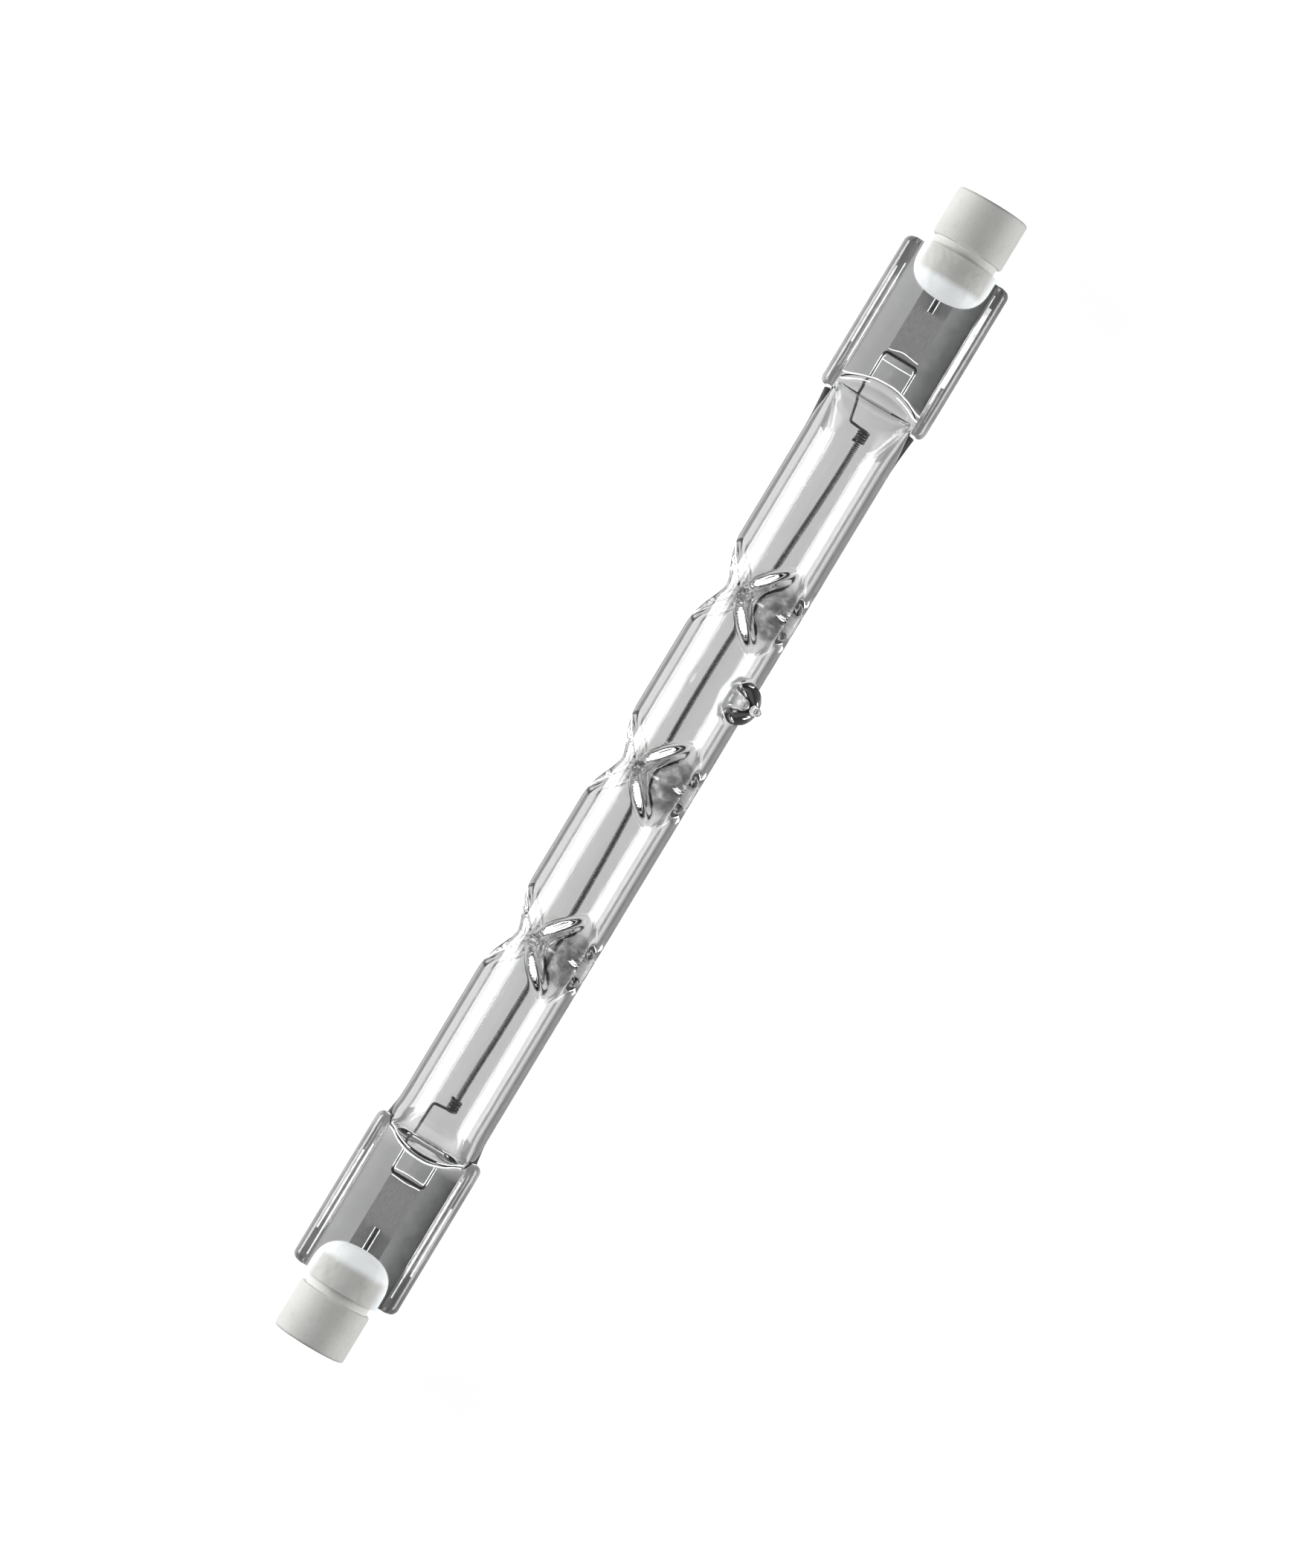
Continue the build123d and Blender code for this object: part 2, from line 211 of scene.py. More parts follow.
def dimple_field(x, y, z, growth, crest):
    """Signed distance to the nearest dimple cutter, grown all over, its crest rounded; negative inside it."""
    nearest = np.full(np.shape(x), 99.0)
    side_r = DIMPLE_SIDE_R + growth
    flat = DIMPLE_FLAT + growth * math.tan(math.atan(DIMPLE_SLOPE) / 2)
    for station in STATIONS:
        for angle in DIMPLE_ANGLES:
            out, aside = turned(y, z, angle)
            from_line = np.hypot(out - DIMPLE_CENTRE, aside)
            cone = side_r - (np.abs(x - station) - flat) * DIMPLE_SLOPE
            profile = smooth_min(cone, side_r, crest)
            distance = (from_line - profile) / math.hypot(1, DIMPLE_SLOPE)
            nearest = np.minimum(nearest, distance)
    return nearest


def tip_distances(x, y, z):
    """Height along the exhaust tip's axis, and distance from it."""
    up, aside = turned(y, z, TIP_ANGLE)
    return up, np.hypot(x - TIP_X, aside)


def tip_field(x, y, z):
    """Signed distance to the exhaust tip; negative inside it."""
    up, aside = tip_distances(x, y, z)
    nub_foot = TIP_TOP - TIP_NUB_R
    radius = TIP_BASE_R + (TIP_NUB_R - TIP_BASE_R) * ramp(up, TIP_SHOULDER, nub_foot)
    side = (aside - radius) * 0.75
    nub = np.hypot(aside, np.maximum(up - nub_foot, 0)) - TIP_NUB_R
    body = np.maximum(side, up - nub_foot)
    return np.minimum(body, nub) + np.where(up < 0, 99.0, 0)


def outer_tube(x, y, z):
    """The glass's own field: negative inside the tube's outer skin."""
    tube = np.hypot(y, z) - TUBE_R
    field = smooth_max(tube, -dimple_field(x, y, z, growth=0, crest=1.2), k=0.7)
    return smooth_min(field, tip_field(x, y, z), k=0.5)


def inner_tube(x, y, z):
    """The cavity's own field: negative in the space inside the tube."""
    tube = np.hypot(y, z) - BORE_R
    field = smooth_max(tube, -dimple_field(x, y, z, growth=WALL, crest=1.8), k=0.25)
    up, aside = tip_distances(x, y, z)
    funnel = (aside - np.clip(TIP_BORE_R * (1 - (up - BORE_R) / 2.3), 0.02, TIP_BORE_R)) * 0.9
    funnel = np.maximum(funnel, up - (TUBE_R + 1.2)) + np.where(up < 0, 99.0, 0)
    return smooth_min(field, funnel, k=0.3)


def tube_ring(x, angles, field):
    """Section of the tube: y and z of the points on rays from the axis at which a field crosses zero."""
    c, s = np.cos(angles), np.sin(angles)
    nearest, farthest, march = 0.3, 7.4, 0.1
    low = np.full(angles.shape, nearest)
    high = np.full(angles.shape, farthest + march)
    # The outermost crossing: march inwards first, then halve
    found = np.zeros(angles.shape, bool)
    for r in np.arange(farthest, nearest, -march):
        inside = field(x, r * c, r * s) < 0
        new = inside & ~found
        low[new] = r
        high[new] = r + march
        found |= new
    for _ in range(18):
        middle = (low + high) / 2
        inside = field(x, middle * c, middle * s) < 0
        low = np.where(inside, middle, low)
        high = np.where(inside, high, middle)
    r = (low + high) / 2
    return r * c, r * s


def plate_half_width(ax):
    """Half width of the flat seal, with its corners rounded in plan; 0 outside it."""
    for past in (SEAL_START + SEAL_CORNER - ax, ax - SEAL_END + SEAL_CORNER):
        if past > SEAL_CORNER:
            return 0.0
        if past > 0:
            return SEAL_HALF_WIDTH - SEAL_CORNER + math.sqrt(SEAL_CORNER**2 - past**2)
    return SEAL_HALF_WIDTH


def seal_ring(x, angles):
    """Section of the neck, shoulder and seal: height over y, the same above and below."""
    side = 1 if x > 0 else -1
    c, s = np.cos(angles), np.sin(angles)
    ax = abs(x)
    wide, tall = section(ax, NECK[side])
    plate = plate_half_width(ax)
    y = max(wide, plate) * c
    # The flat seal: a web between two ribs, with softened slopes
    inner = SEAL_HALF_WIDTH - RIB_WIDTH
    groove = 1 - ramp(np.abs(y), inner - 0.1, inner + 0.35)
    level = RIB_HALF + (WEB_HALF - RIB_HALF) * groove
    # The neck, and the round jaw's cut into it
    dome = tall * np.sqrt(np.clip(1 - (y / wide) ** 2, 0, 1))
    centre = SHOULDER_END[side] - JAW_R
    if ax > centre:
        rho = np.hypot(ax - centre, y)
        cut = smooth_max(WEB_HALF + JAW_SLOPE * (JAW_R - rho), level, k=0.7)
        dome = smooth_min(dome, cut, k=0.5 * ramp(ax, SEAL_START - 1, SEAL_START) + 0.001)
        dome = np.where(np.abs(y) < wide, np.maximum(dome, 0), 0)
    if plate > 0:
        # The ribs' outer edges are rounded; at the very edge the section is the slab's alone
        edge = np.clip(1 - np.abs(y / plate) ** 8, 0, 1) ** (1 / 3)
        slab = level * edge
        height = smooth_max(dome, slab, k=0.12)
        fade = np.clip(np.abs(s) / 0.1, 0, 1)
        height = height * fade + slab * (1 - fade)
    else:
        height = dome
    return y, np.sign(s) * np.abs(height)


def cavity_ring(x, angles):
    """Section of the cavity in a neck."""
    wide, tall = section(abs(x), CAVITY[1 if x > 0 else -1])
    return wide * np.cos(angles), tall * np.sin(angles)


def steps(*spans):
    """Places along X from spans of (start, end, step), each start kept and the last end added."""
    places = []
    for start, end, step in spans:
        count = max(1, round((end - start) / step))
        places += [start + (end - start) * i / count for i in range(count)]
    return places + [spans[-1][1]]


def seal_steps(side):
    """Distances from the middle of the sections of a neck and seal, closest where the form turns."""
    start = NECK[side][0][0]
    return steps(
        (start, 36.8, 0.4), (36.8, SEAL_START, 0.2), (SEAL_START, SEAL_START + 0.7, 0.08),
        (SEAL_START + 0.7, 41.0, 0.11), (41.0, 44.0, 0.6), (44.0, 52.2, 1.6), (52.2, SEAL_END, 0.1),
    )


def tube_steps(fine, medium):
    """Places along X of the sections of the tube: fine steps at the dimples and the tip, medium between."""
    spans = []
    x = -NECK[-1][0][0]
    stretches = [(station - 5.0, station + 5.0, fine) for station in STATIONS]
    stretches.append((TIP_X - 3.0, TIP_X + 3.0, fine * 0.8))
    for low, high, step in sorted(stretches):
        if low > x:
            spans.append((x, low, medium))
        spans.append((max(low, x), high, step))
        x = high
    spans.append((x, NECK[1][0][0], medium))
    return steps(*spans)


def rings_to_mesh(rings, flip):
    """Vertices and faces of a closed skin over rings of equal size, as (x, y array, z array).

    The faces look outward, or inward when flipped, as the wall of a cavity does.
    """
    count = len(rings[0][1])
    verts = []
    for x, y, z in rings:
        verts += [(xx * MM, yy * MM, zz * MM) for xx, yy, zz in zip(np.broadcast_to(x, (count,)), y, z)]
    faces = []
    for i in range(len(rings) - 1):
        for j in range(count):
            k = (j + 1) % count
            a, b = i * count + j, i * count + k
            face = (a, a + count, b + count, b)
            faces.append(face if flip else face[::-1])
    for ring, turn in ((0, flip), (len(rings) - 1, not flip)):
        base = ring * count
        # A ring is its own mirror image in the XY plane: join each point to the one below it
        for j in range(count // 2):
            upper, upper_next = base + j, base + j + 1
            lower, lower_next = base + (count - j) % count, base + (count - j - 1) % count
            corners = [upper, upper_next, lower_next, lower]
            corners = [v for i, v in enumerate(corners) if v not in corners[:i]]
            if len(corners) > 2:
                faces.append(tuple(corners if turn else corners[::-1]))
    return verts, faces


def envelope_mesh():
    """The quartz's outer skin and the skin of its cavity."""
    turn = 2 * math.pi
    outer_angles = np.arange(OUTER_COUNT) * turn / OUTER_COUNT
    inner_angles = np.arange(INNER_COUNT) * turn / INNER_COUNT
    left, right = seal_steps(-1), seal_steps(1)
    rings = [(-v, *seal_ring(-v, outer_angles)) for v in reversed(left)][:-1]
    rings += [(x, *tube_ring(x, outer_angles, outer_tube)) for x in tube_steps(0.16, 2.0)]
    rings += [(x, *seal_ring(x, outer_angles)) for x in right[1:]]
    verts, faces = rings_to_mesh(rings, False)
    left = steps((CAVITY[-1][0][0], 37.6, 0.3), (37.6, CAVITY[-1][-1][0], 0.08))
    right = steps((CAVITY[1][0][0], 37.8, 0.4), (37.8, CAVITY[1][-1][0], 0.08))
    inner = [(-v, *cavity_ring(-v, inner_angles)) for v in reversed(left)][:-1]
    inner += [(x, *tube_ring(x, inner_angles, inner_tube)) for x in tube_steps(0.2, 2.5)]
    inner += [(x, *cavity_ring(x, inner_angles)) for x in right[1:]]
    inner_verts, inner_faces = rings_to_mesh(inner, True)
    shift = len(verts)
    verts += inner_verts
    faces += [tuple(v + shift for v in face) for face in inner_faces]
    return verts, faces


def new_piece(name, verts, faces, material, slot, smooth=True):
    """A visible piece that rides on the lamp's only body."""
    mesh = bpy.data.meshes.new(name)
    mesh.from_pydata(verts, [], faces)
    mesh.validate()
    mesh.update()
    piece = bpy.data.objects.new(name, mesh)
    bpy.context.scene.collection.objects.link(piece)
    if smooth:
        mesh.polygons.foreach_set("use_smooth", [True] * len(mesh.polygons))
    piece.data.materials.append(material)
    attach(piece, "root")
    return piece


def wire_mesh(points, radius, sides):
    """A round wire along a row of points, in millimetres, closed at both ends."""
    points = np.array(points, float)
    along = np.gradient(points, axis=0)
    along /= np.linalg.norm(along, axis=1)[:, None]
    normal = np.cross(along[0], (0.31, 0.27, 0.91))
    verts, faces = [], []
    for i, (p, d) in enumerate(zip(points, along)):
        normal = normal - d * normal.dot(d)
        normal /= np.linalg.norm(normal)
        other = np.cross(d, normal)
        for j in range(sides):
            a = 2 * math.pi * j / sides
            verts.append(tuple((p + radius * (math.cos(a) * normal + math.sin(a) * other)) * MM))
    for i in range(len(points) - 1):
        for j in range(sides):
            k = (j + 1) % sides
            faces.append((i * sides + j, i * sides + k, (i + 1) * sides + k, (i + 1) * sides + j))
    faces.append(tuple(range(sides))[::-1])
    faces.append(tuple((len(points) - 1) * sides + j for j in range(sides)))
    return verts, faces


def coil_points():
    """The filament's fine coil: close turns, drawn apart a little on one side of each dimple station."""
    points = []
    x, angle = COIL_LINE[0][0], 0.0
    mean_r = COIL_R - COIL_WIRE_R
    while x < COIL_LINE[-1][0]:
        y = float(curve_through(x, COIL_LINE))
        points.append((x, y + mean_r * math.cos(angle), mean_r * math.sin(angle)))
        is_open = any(station + 1.6 < x < station + 3.3 for station in STATIONS)
        x += (COIL_OPEN_PITCH if is_open else COIL_PITCH) / COIL_POINTS_PER_TURN
        angle += 2 * math.pi / COIL_POINTS_PER_TURN
    return points


def ribbon_mesh(rows, width):
    """Flat strips, in millimetres, level with the seal, along rows of (x, y, z) points."""
    verts, faces = [], []
    for points in rows:
        points = np.array(points, float)
        along = np.gradient(points, axis=0)
        along /= np.linalg.norm(along, axis=1)[:, None]
        across = np.cross(along, (0, 0, 1))
        across /= np.linalg.norm(across, axis=1)[:, None]
        start = len(verts)
        for p, a in zip(points, across):
            verts += [tuple((p - a * width / 2) * MM), tuple((p + a * width / 2) * MM)]
        for i in range(len(points) - 1):
            a = start + 2 * i
            faces.append((a, a + 1, a + 3, a + 2))
    return verts, faces


def smooth_row(points):
    """More points along a row of (x, y), on a smooth curve from the lowest y to the highest."""
    table = sorted((y, x) for x, y in points)
    ys = np.linspace(table[0][0], table[-1][0], 4 * len(table))
    return [(float(curve_through(y, table)), float(y)) for y in ys]


def seal_highlight_rows(side):
    """Rows of points for painted highlights: along the gaps beside the leads, and along the jaws' edges and
    the ribs.
    """
    inner = FOIL_INNER[side]
    near = SHOULDER_END[side] + 0.1
    # Beside each leg, and turning in towards the hairpin's bridge
    rows = []
    for leg in (LEAD_LEG, -LEAD_LEG):
        inward = -1 if leg > 0 else 1
        for offset in (GAP_FROM_LEG, -GAP_FROM_LEG):
            beside = leg + offset
            rows.append([(near, beside), (inner - 0.45, beside), (inner - 0.2, beside + 0.1 * inward)])
    rows += [smooth_row(mark) for mark in BRIDGE_HIGHLIGHTS[side]]
    highlight_marks = [[(side * x, y, JAW_HIGHLIGHT_LEVEL) for x, y in smooth_row(mark)] for mark in JAW_HIGHLIGHTS[side]]
    for first, last, y in RIB_HIGHLIGHTS[side]:
        along = [first + (last - first) * i / RIB_HIGHLIGHT_PARTS for i in range(RIB_HIGHLIGHT_PARTS + 1)]
        highlight_marks.append([(side * x, y, RIB_HIGHLIGHT_LEVEL) for x in along])
    rows = [[(side * x, y, HAIRPIN_GAP_LEVEL) for x, y in row] for row in rows]
    start = OUTER_LEAD_START[side] - 0.05
    for offset in (OUTER_LEAD_R - 0.08, -OUTER_LEAD_R + 0.08):
        rows.append([(side * x, offset, OUTER_LEAD_GAP_LEVEL) for x in (start, OUTER_LEAD_SHOWN_TO)])
    return rows, highlight_marks


class Finish:
    """A Principled material with helpers for patterns in the object's own coordinates."""

    def __init__(self, name, roughness, metallic=0.0):
        self.made = bpy.data.materials.new(name)
        self.made.use_nodes = True
        self.nodes, self.links = self.made.node_tree.nodes, self.made.node_tree.links
        self.shader = self.nodes["Principled BSDF"]
        self.shader.inputs["Roughness"].default_value = roughness
        self.shader.inputs["Metallic"].default_value = metallic
        self.place = self.nodes.new("ShaderNodeTexCoord").outputs["Object"]

    def matt(self):
        """Takes most of the gloss away."""
        self.shader.inputs["Specular IOR Level"].default_value = 0.15

    def noise(self, scale, detail=4.0, stretch=(1, 1, 1)):
        """A noise pattern, drawn out along the axes whose stretch is small."""
        shift = self.nodes.new("ShaderNodeMapping")
        shift.inputs["Scale"].default_value = stretch
        noise = self.nodes.new("ShaderNodeTexNoise")
        noise.inputs["Scale"].default_value = scale
        noise.inputs["Detail"].default_value = detail
        self.links.new(self.place, shift.inputs["Vector"])
        self.links.new(shift.outputs[0], noise.inputs["Vector"])
        return noise.outputs["Fac"]

    def colours(self, source, stops):
        """Colours by a source from 0 to 1: stops are (place, colour)."""
        rack = self.nodes.new("ShaderNodeValToRGB")
        elements = rack.color_ramp.elements
        while len(elements) < len(stops):
            elements.new(0.5)
        for element, (place, colour) in zip(elements, stops):
            element.position = place
            element.color = (*colour, 1)
        self.links.new(source, rack.inputs["Fac"])
        return rack.outputs["Color"]

    def mix(self, share, first, second, mode="MIX"):
        """Two colours mixed by a share, which is a source or a number."""
        node = self.nodes.new("ShaderNodeMix")
        node.data_type = "RGBA"
        node.blend_type = mode
        for socket, value in (("Factor", share), ("A", first), ("B", second)):
            target = [s for s in node.inputs if s.name == socket and s.enabled][0]
            if isinstance(value, (int, float)):
                target.default_value = value
            else:
                self.links.new(value, target)
        return [s for s in node.outputs if s.enabled][0]

    def between(self, source, low, high, to_low=0.0, to_high=1.0):
        """A source mapped from low and high, in either order, and held at both ends."""
        node = self.nodes.new("ShaderNodeMapRange")
        node.inputs["From Min"].default_value = low
        node.inputs["From Max"].default_value = high
        node.inputs["To Min"].default_value = to_low
        node.inputs["To Max"].default_value = to_high
        self.links.new(source, node.inputs["Value"])
        return node.outputs["Result"]

    def product(self, *factors):
        """The product of two or more sources or numbers."""
        result = factors[0]
        for factor in factors[1:]:
            result = self.maths("MULTIPLY", result, factor)
        return result

    def size_of(self, source):
        """A source without its sign."""
        return self.maths("ABSOLUTE", source)

    def glow(self, source, strength):
        """A light of its own, in the source's colours."""
        self.links.new(source, self.shader.inputs["Emission Color"])
        self.shader.inputs["Emission Strength"].default_value = strength

    def maths(self, operation, first, second=0.0):
        """The result of a sum on sources or numbers."""
        node = self.nodes.new("ShaderNodeMath")
        node.operation = operation
        for i, value in enumerate((first, second)):
            if isinstance(value, (int, float)):
                node.inputs[i].default_value = value
            else:
                self.links.new(value, node.inputs[i])
        return node.outputs[0]

    def axes(self):
        """The object's own X, Y and Z, in metres, as sources."""
        split = self.nodes.new("ShaderNodeSeparateXYZ")
        self.links.new(self.place, split.inputs[0])
        return split.outputs

    def colour(self, source):
        """The base colour, by a source."""
        self.links.new(source, self.shader.inputs["Base Color"])

    def bump(self, source, strength, distance):
        """Fine relief by a source, its distance in metres."""
        node = self.nodes.new("ShaderNodeBump")
        node.inputs["Strength"].default_value = strength
        node.inputs["Distance"].default_value = distance
        self.links.new(source, node.inputs["Height"])
        self.links.new(node.outputs[0], self.shader.inputs["Normal"])


def grey(level):
    """A neutral colour."""
    return (level, level, level)


def pocket_share(finish, x, y, z):
    """1 inside the dimple nearest to the top, at each station, fading out at its rim; bounds in metres."""
    from_station = finish.maths("PINGPONG", x, STATIONS[-1] * MM / 2)
    angle = math.radians(DIMPLE_ANGLES[1])
    c, s = math.cos(angle), math.sin(angle)
    out = finish.maths("ADD", finish.product(y, c), finish.product(z, s))
    aside = finish.maths("ADD", finish.product(y, -s), finish.product(z, c))
    return finish.product(
        finish.between(from_station, 0.0030, 0.0022),
        finish.between(finish.size_of(aside), 0.0026, 0.0019),
        finish.between(out, 0.0039, 0.0034),
        finish.between(out, 0.0004, 0.0009),
        finish.between(finish.size_of(x), 0.026, 0.024),
    )


def quartz_finish():
    """Clear quartz, almost colourless, with painted shade: the seals' lower faces are tinted dark, darkest on
    the -Y side, and the ribs and the top dimples are darkened in patches.
    """
    finish = Finish("quartz", 0.0)
    finish.shader.inputs["IOR"].default_value = 1.458
    finish.shader.inputs["Transmission Weight"].default_value = 1.0
    x, y, z = finish.axes()
    # Painted shade: the seals' lower faces are tinted from near black on the -Y side to mid grey on the +Y
    # side, as the shaded floor seen through them
    in_seal = finish.between(finish.size_of(x), 0.0385, 0.0400)
    under = finish.between(z, 0.0003, -0.0003)
    web = finish.between(finish.size_of(y), 0.0043, 0.0039)
    painted_shade_share = finish.product(in_seal, under, web)
    across = finish.between(y, -0.004, 0.004)
    blotches = finish.between(finish.noise(900, 3.0), 0.3, 0.7, -0.06, 0.06)
    tone = finish.colours(finish.maths("ADD", across, blotches), [
        (0.0, (0.06, 0.063, 0.063)), (0.25, (0.19, 0.195, 0.195)), (0.45, (0.28, 0.285, 0.285)),
        (0.6, (0.46, 0.465, 0.465)), (1.0, (0.6, 0.605, 0.605)),
    ])
    clear = finish.colours(finish.noise(150, 2.0), [(0.0, (0.93, 0.935, 0.93)), (1.0, (0.97, 0.975, 0.97))])
    # Painted shade: the seals' ribs are darkened in mottled patches, for the dark edges the glass shows there
    rib = finish.product(in_seal, finish.between(finish.size_of(y), 0.0039, 0.0042))
    rib_painted_shade = finish.colours(finish.noise(400, 3.0), [(0.3, grey(0.5)), (0.7, grey(0.85))])
    clear = finish.mix(rib, clear, rib_painted_shade)
    # Painted shade: the top dimple at each station is darkened, mottled with lighter spots
    pocket_shade = finish.product(pocket_share(finish, x, y, z), 0.9)
    pocket_shade_stops = [(0.35, grey(0.12)), (0.5, grey(0.3)), (0.68, grey(0.75))]
    clear = finish.mix(pocket_shade, clear, finish.colours(finish.noise(1100, 4.0), pocket_shade_stops))
    finish.colour(finish.mix(painted_shade_share, clear, tone))
    # Light reaches what is inside the quartz and the floor under it
    out = finish.nodes["Material Output"]
    path = finish.nodes.new("ShaderNodeLightPath")
    clear_way = finish.nodes.new("ShaderNodeBsdfTransparent")
    clear_way.inputs["Color"].default_value = (0.78, 0.78, 0.78, 1)
    both = finish.nodes.new("ShaderNodeMixShader")
    finish.links.new(path.outputs["Is Shadow Ray"], both.inputs[0])
    finish.links.new(finish.shader.outputs[0], both.inputs[1])
    finish.links.new(clear_way.outputs[0], both.inputs[2])
    finish.links.new(both.outputs[0], out.inputs["Surface"])
    return finish.made


def metal_finish(name, dark, light, roughness, scale, metallic=1.0, stretch=(1, 1, 1)):
    """Worn or drawn metal, in tones between dark and light."""
    finish = Finish(name, roughness, metallic)
    pattern = finish.noise(scale, 4.0, stretch)
    finish.colour(finish.colours(pattern, [(0.3, dark), (0.7, light)]))
    finish.bump(pattern, 0.2, 0.00002)
    return finish.made


def ceramic_finish():
    """Matt steatite: warm white, with faint grey speckle and a fine grain."""
    finish = Finish("ceramic", 0.7)
    finish.matt()
    soft = finish.colours(finish.noise(260, 5.0), [(0.3, (0.76, 0.755, 0.725)), (0.7, (0.86, 0.86, 0.835))])
    specks = finish.colours(finish.noise(2600, 2.0), [(0.28, grey(0.93)), (0.42, grey(1.0))])
    finish.colour(finish.mix(1.0, soft, specks, "MULTIPLY"))
    finish.bump(finish.noise(3200, 5.0), 0.35, 0.00006)
    return finish.made


def cement_finish():
    """Bluish white cement, set in soft lumps; it has a painted glow, though it is no lamp.

    Over the cap's neck it has the ceramic's tone, and no glow.
    """
    finish = Finish("cement", 0.75)
    finish.matt()
    lumps = finish.noise(700, 5.0)
    tone = finish.colours(lumps, [(0.3, (0.84, 0.88, 0.89)), (0.7, (0.94, 0.96, 0.97))])
    x, y, _ = finish.axes()
    over_neck = finish.product(
        finish.between(finish.size_of(x), 0.0505, 0.0511), finish.between(finish.size_of(y), 0.0035, 0.0029)
    )
    neck_tone = finish.colours(lumps, [(0.3, (0.74, 0.74, 0.71)), (0.7, (0.84, 0.84, 0.815))])
    finish.colour(finish.mix(over_neck, tone, neck_tone))
    # Painted light: off the cap's neck the cement glows in its own tone
    painted_glow_share = finish.colours(over_neck, [(0.0, grey(1.0)), (1.0, grey(0.0))])
    finish.glow(finish.mix(1.0, tone, painted_glow_share, "MULTIPLY"), 0.25)
    finish.bump(lumps, 0.6, 0.0003)
    return finish.made


def painted_strip_finish():
    """Painted highlights: thin strips that glow bright beside the sealed wires and along the jaws' edges and
    the ribs, for light thrown back there.
    """
    finish = Finish("seal_painted_highlights", 0.5)
    breaks = finish.colours(finish.noise(1800, 2.0), [(0.3, grey(0.6)), (0.6, grey(1.0))])
    finish.colour(breaks)
    finish.glow(breaks, 0.55)
    return finish.made


quartz = quartz_finish()
tungsten = metal_finish("tungsten", grey(0.05), grey(0.12), 0.35, 3000)
wire = metal_finish("wire", grey(0.03), grey(0.08), 0.4, 2500)
foil = metal_finish("foil", grey(0.19), grey(0.27), 0.8, 1500, 0.0, (1, 6, 1))
nickel = metal_finish("nickel", (0.45, 0.44, 0.42), (0.62, 0.6, 0.57), 0.3, 1200, 1.0, (1, 5, 5))
ceramic, cement, painted_strips = ceramic_finish(), cement_finish(), painted_strip_finish()
for start, finish in (("inner_lead", wire), ("outer_lead", wire), ("foil", foil),
                      ("ceramic_cap", ceramic), ("cement", cement), ("contact", nickel)):
    for name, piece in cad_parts.items():
        if name.startswith(start):
            piece.data.materials.clear()
            piece.data.materials.append(finish)

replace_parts(new_piece("envelope", *envelope_mesh(), quartz, "quartz"), "quartz_envelope")
coil_mesh = wire_mesh(coil_points(), COIL_WIRE_R, COIL_SIDES)
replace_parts(new_piece("coil", *coil_mesh, tungsten, "tungsten"), "filament")
# Painted highlights in each seal: glowing strips beside the wires, along the jaws' edges and along the ribs
for end, side in (("left", -1), ("right", 1)):
    rows, highlight_marks = seal_highlight_rows(side)
    verts, faces = ribbon_mesh(rows, GAP_HIGHLIGHT_WIDTH)
    highlight_verts, highlight_faces = ribbon_mesh(highlight_marks, MARK_HIGHLIGHT_WIDTH)
    faces += [tuple(v + len(verts) for v in face) for face in highlight_faces]
    new_piece(f"seal_painted_highlights_{end}", verts + highlight_verts, faces, painted_strips, "quartz", False)


def level_ramp(nodes, links, source, stops):
    """Grey levels by a source from 0 to 1: the first and last stops are at 0 and 1."""
    rack = nodes.new("ShaderNodeValToRGB")
    elements = rack.color_ramp.elements
    for place, level in stops[1:-1]:
        elements.new(place).color = (level, level, level, 1)
    for element, (place, level) in ((elements[0], stops[0]), (elements[-1], stops[-1])):
        element.color = (level, level, level, 1)
    links.new(source, rack.inputs["Fac"])
    return rack.outputs["Color"]


def white_surround(nodes, links, base, output, camera_level, pattern):
    """Adds to a base shader a white glow for camera rays, and the pattern's glow in glass and metal."""
    glow = nodes.new("ShaderNodeEmission")
    glow.inputs["Color"].default_value = (1, 1, 1, 1)
    path = nodes.new("ShaderNodeLightPath")
    level = None
    for ray in ("Is Camera Ray", "Is Glossy Ray", "Is Transmission Ray"):
        part = nodes.new("ShaderNodeMath")
        part.operation = "MULTIPLY"
        links.new(path.outputs[ray], part.inputs[0])
        if ray == "Is Camera Ray":
            part.inputs[1].default_value = camera_level
        else:
            links.new(pattern, part.inputs[1])
        if level is None:
            level = part.outputs[0]
        else:
            total = nodes.new("ShaderNodeMath")
            total.operation = "MAXIMUM"
            links.new(level, total.inputs[0])
            links.new(part.outputs[0], total.inputs[1])
            level = total.outputs[0]
    links.new(level, glow.inputs["Strength"])
    both = nodes.new("ShaderNodeAddShader")
    links.new(base, both.inputs[0])
    links.new(glow.outputs[0], both.inputs[1])
    links.new(both.outputs[0], output)


# Floor, under the tube: white to the camera. Glass sees it with painted shadows: grey under the lamp, dark in
# a band along each side of it, and light beyond
bpy.ops.mesh.primitive_plane_add(size=FLOOR_SIZE, location=(0, 0, -TUBE_R * MM))
floor = bpy.context.object
floor.name = "floor"
floor_finish = bpy.data.materials.new("floor")
floor_finish.use_nodes = True
nodes, links = floor_finish.node_tree.nodes, floor_finish.node_tree.links
nodes.remove(nodes["Principled BSDF"])
diffuse = nodes.new("ShaderNodeBsdfDiffuse")
diffuse.inputs["Color"].default_value = (*grey(FLOOR_TONE), 1)
split = nodes.new("ShaderNodeSeparateXYZ")
links.new(nodes.new("ShaderNodeTexCoord").outputs["Object"], split.inputs[0])
across = nodes.new("ShaderNodeMapRange")
across.inputs["From Min"].default_value = -SEEN_REACH * MM
across.inputs["From Max"].default_value = SEEN_REACH * MM
links.new(split.outputs["Y"], across.inputs["Value"])
painted_shadow_stops = [((place / SEEN_REACH + 1) / 2, level) for place, level in FLOOR_PAINTED_SHADOWS]
floor_painted_shadows = level_ramp(nodes, links, across.outputs["Result"], painted_shadow_stops)
surface = nodes["Material Output"].inputs["Surface"]
white_surround(nodes, links, diffuse.outputs[0], surface, FLOOR_WHITE, floor_painted_shadows)
floor.data.materials.append(floor_finish)

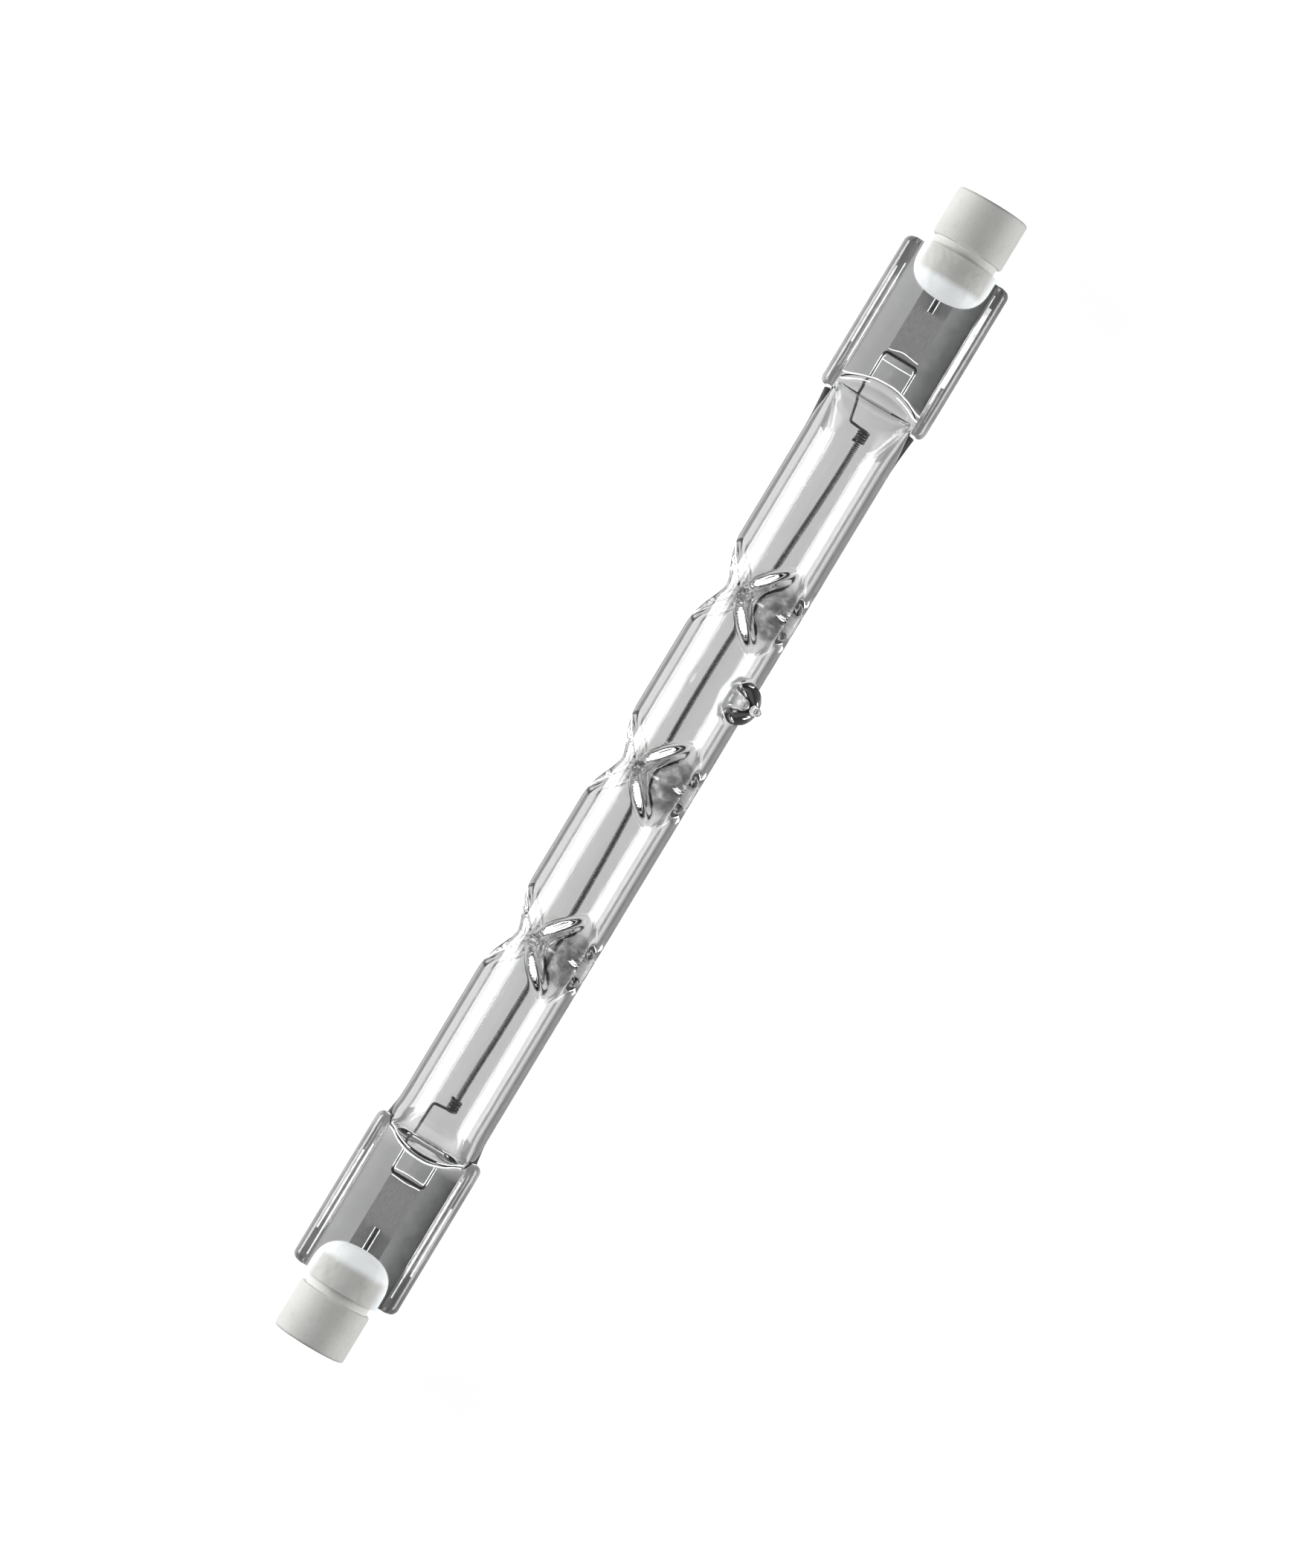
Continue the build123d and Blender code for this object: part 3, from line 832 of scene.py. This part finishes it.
# World: dim and even, and white to the camera. Glass and metal see a bright band in it, low down all round
world = bpy.data.worlds.new("world")
bpy.context.scene.world = world
world.use_nodes = True
nodes, links = world.node_tree.nodes, world.node_tree.links
nodes["Background"].inputs["Color"].default_value = (1, 1, 1, 1)
nodes["Background"].inputs["Strength"].default_value = SKY_STRENGTH
split = nodes.new("ShaderNodeSeparateXYZ")
links.new(nodes.new("ShaderNodeTexCoord").outputs["Generated"], split.inputs[0])
seen_sky = level_ramp(nodes, links, split.outputs["Z"], SEEN_SKY)
surface = nodes["World Output"].inputs["Surface"]
white_surround(nodes, links, nodes["Background"].outputs[0], surface, SKY_WHITE, seen_sky)

# Camera: over the lamp, square to its seals, turned so that +X rises to the right as in the photograph.
# SCALE is the photograph's millimetres to a pixel, and the aim is in its pixels from the lamp's middle
TURN = math.radians(58.9)
SCALE = 0.0659
FRAME_HEIGHT = 2108 * SCALE
DISTANCE = 650.0
SENSOR_HEIGHT = 36.0
AIM_RIGHT = -7.6
AIM_UP = -12.1
right = Vector((math.cos(TURN), -math.sin(TURN), 0))
up = Vector((math.sin(TURN), math.cos(TURN), 0))
target = (right * AIM_RIGHT + up * AIM_UP) * SCALE
camera_data = bpy.data.cameras.new("camera")
camera = bpy.data.objects.new("camera", camera_data)
bpy.context.scene.collection.objects.link(camera)
camera_data.sensor_fit = "VERTICAL"
camera_data.sensor_height = SENSOR_HEIGHT
camera_data.lens = SENSOR_HEIGHT * DISTANCE / FRAME_HEIGHT
camera_data.clip_start = 0.01
basis = Matrix((right, up, Vector((0, 0, 1)))).transposed().to_4x4()
camera.matrix_world = Matrix.Translation((target + Vector((0, 0, DISTANCE))) * MM) @ basis
bpy.context.scene.camera = camera


def soft_box(name, place, width, height, radiance):
    """A rectangular soft light at a place in metres, facing the lamp; radiance where white paper is 1."""
    data = bpy.data.lights.new(name, "AREA")
    data.shape = "RECTANGLE"
    data.size, data.size_y = width, height
    data.energy = radiance * math.pi * width * height
    lamp = bpy.data.objects.new(name, data)
    bpy.context.scene.collection.objects.link(lamp)
    lamp.location = place
    lamp.rotation_euler = (-Vector(place)).to_track_quat("-Z", "Y").to_euler()


for name, y, radiance in BOXES:
    soft_box(name, (0, y, BOX_RISE), *BOX_SIZE, radiance)

bpy.context.scene.view_settings.view_transform = "Standard"
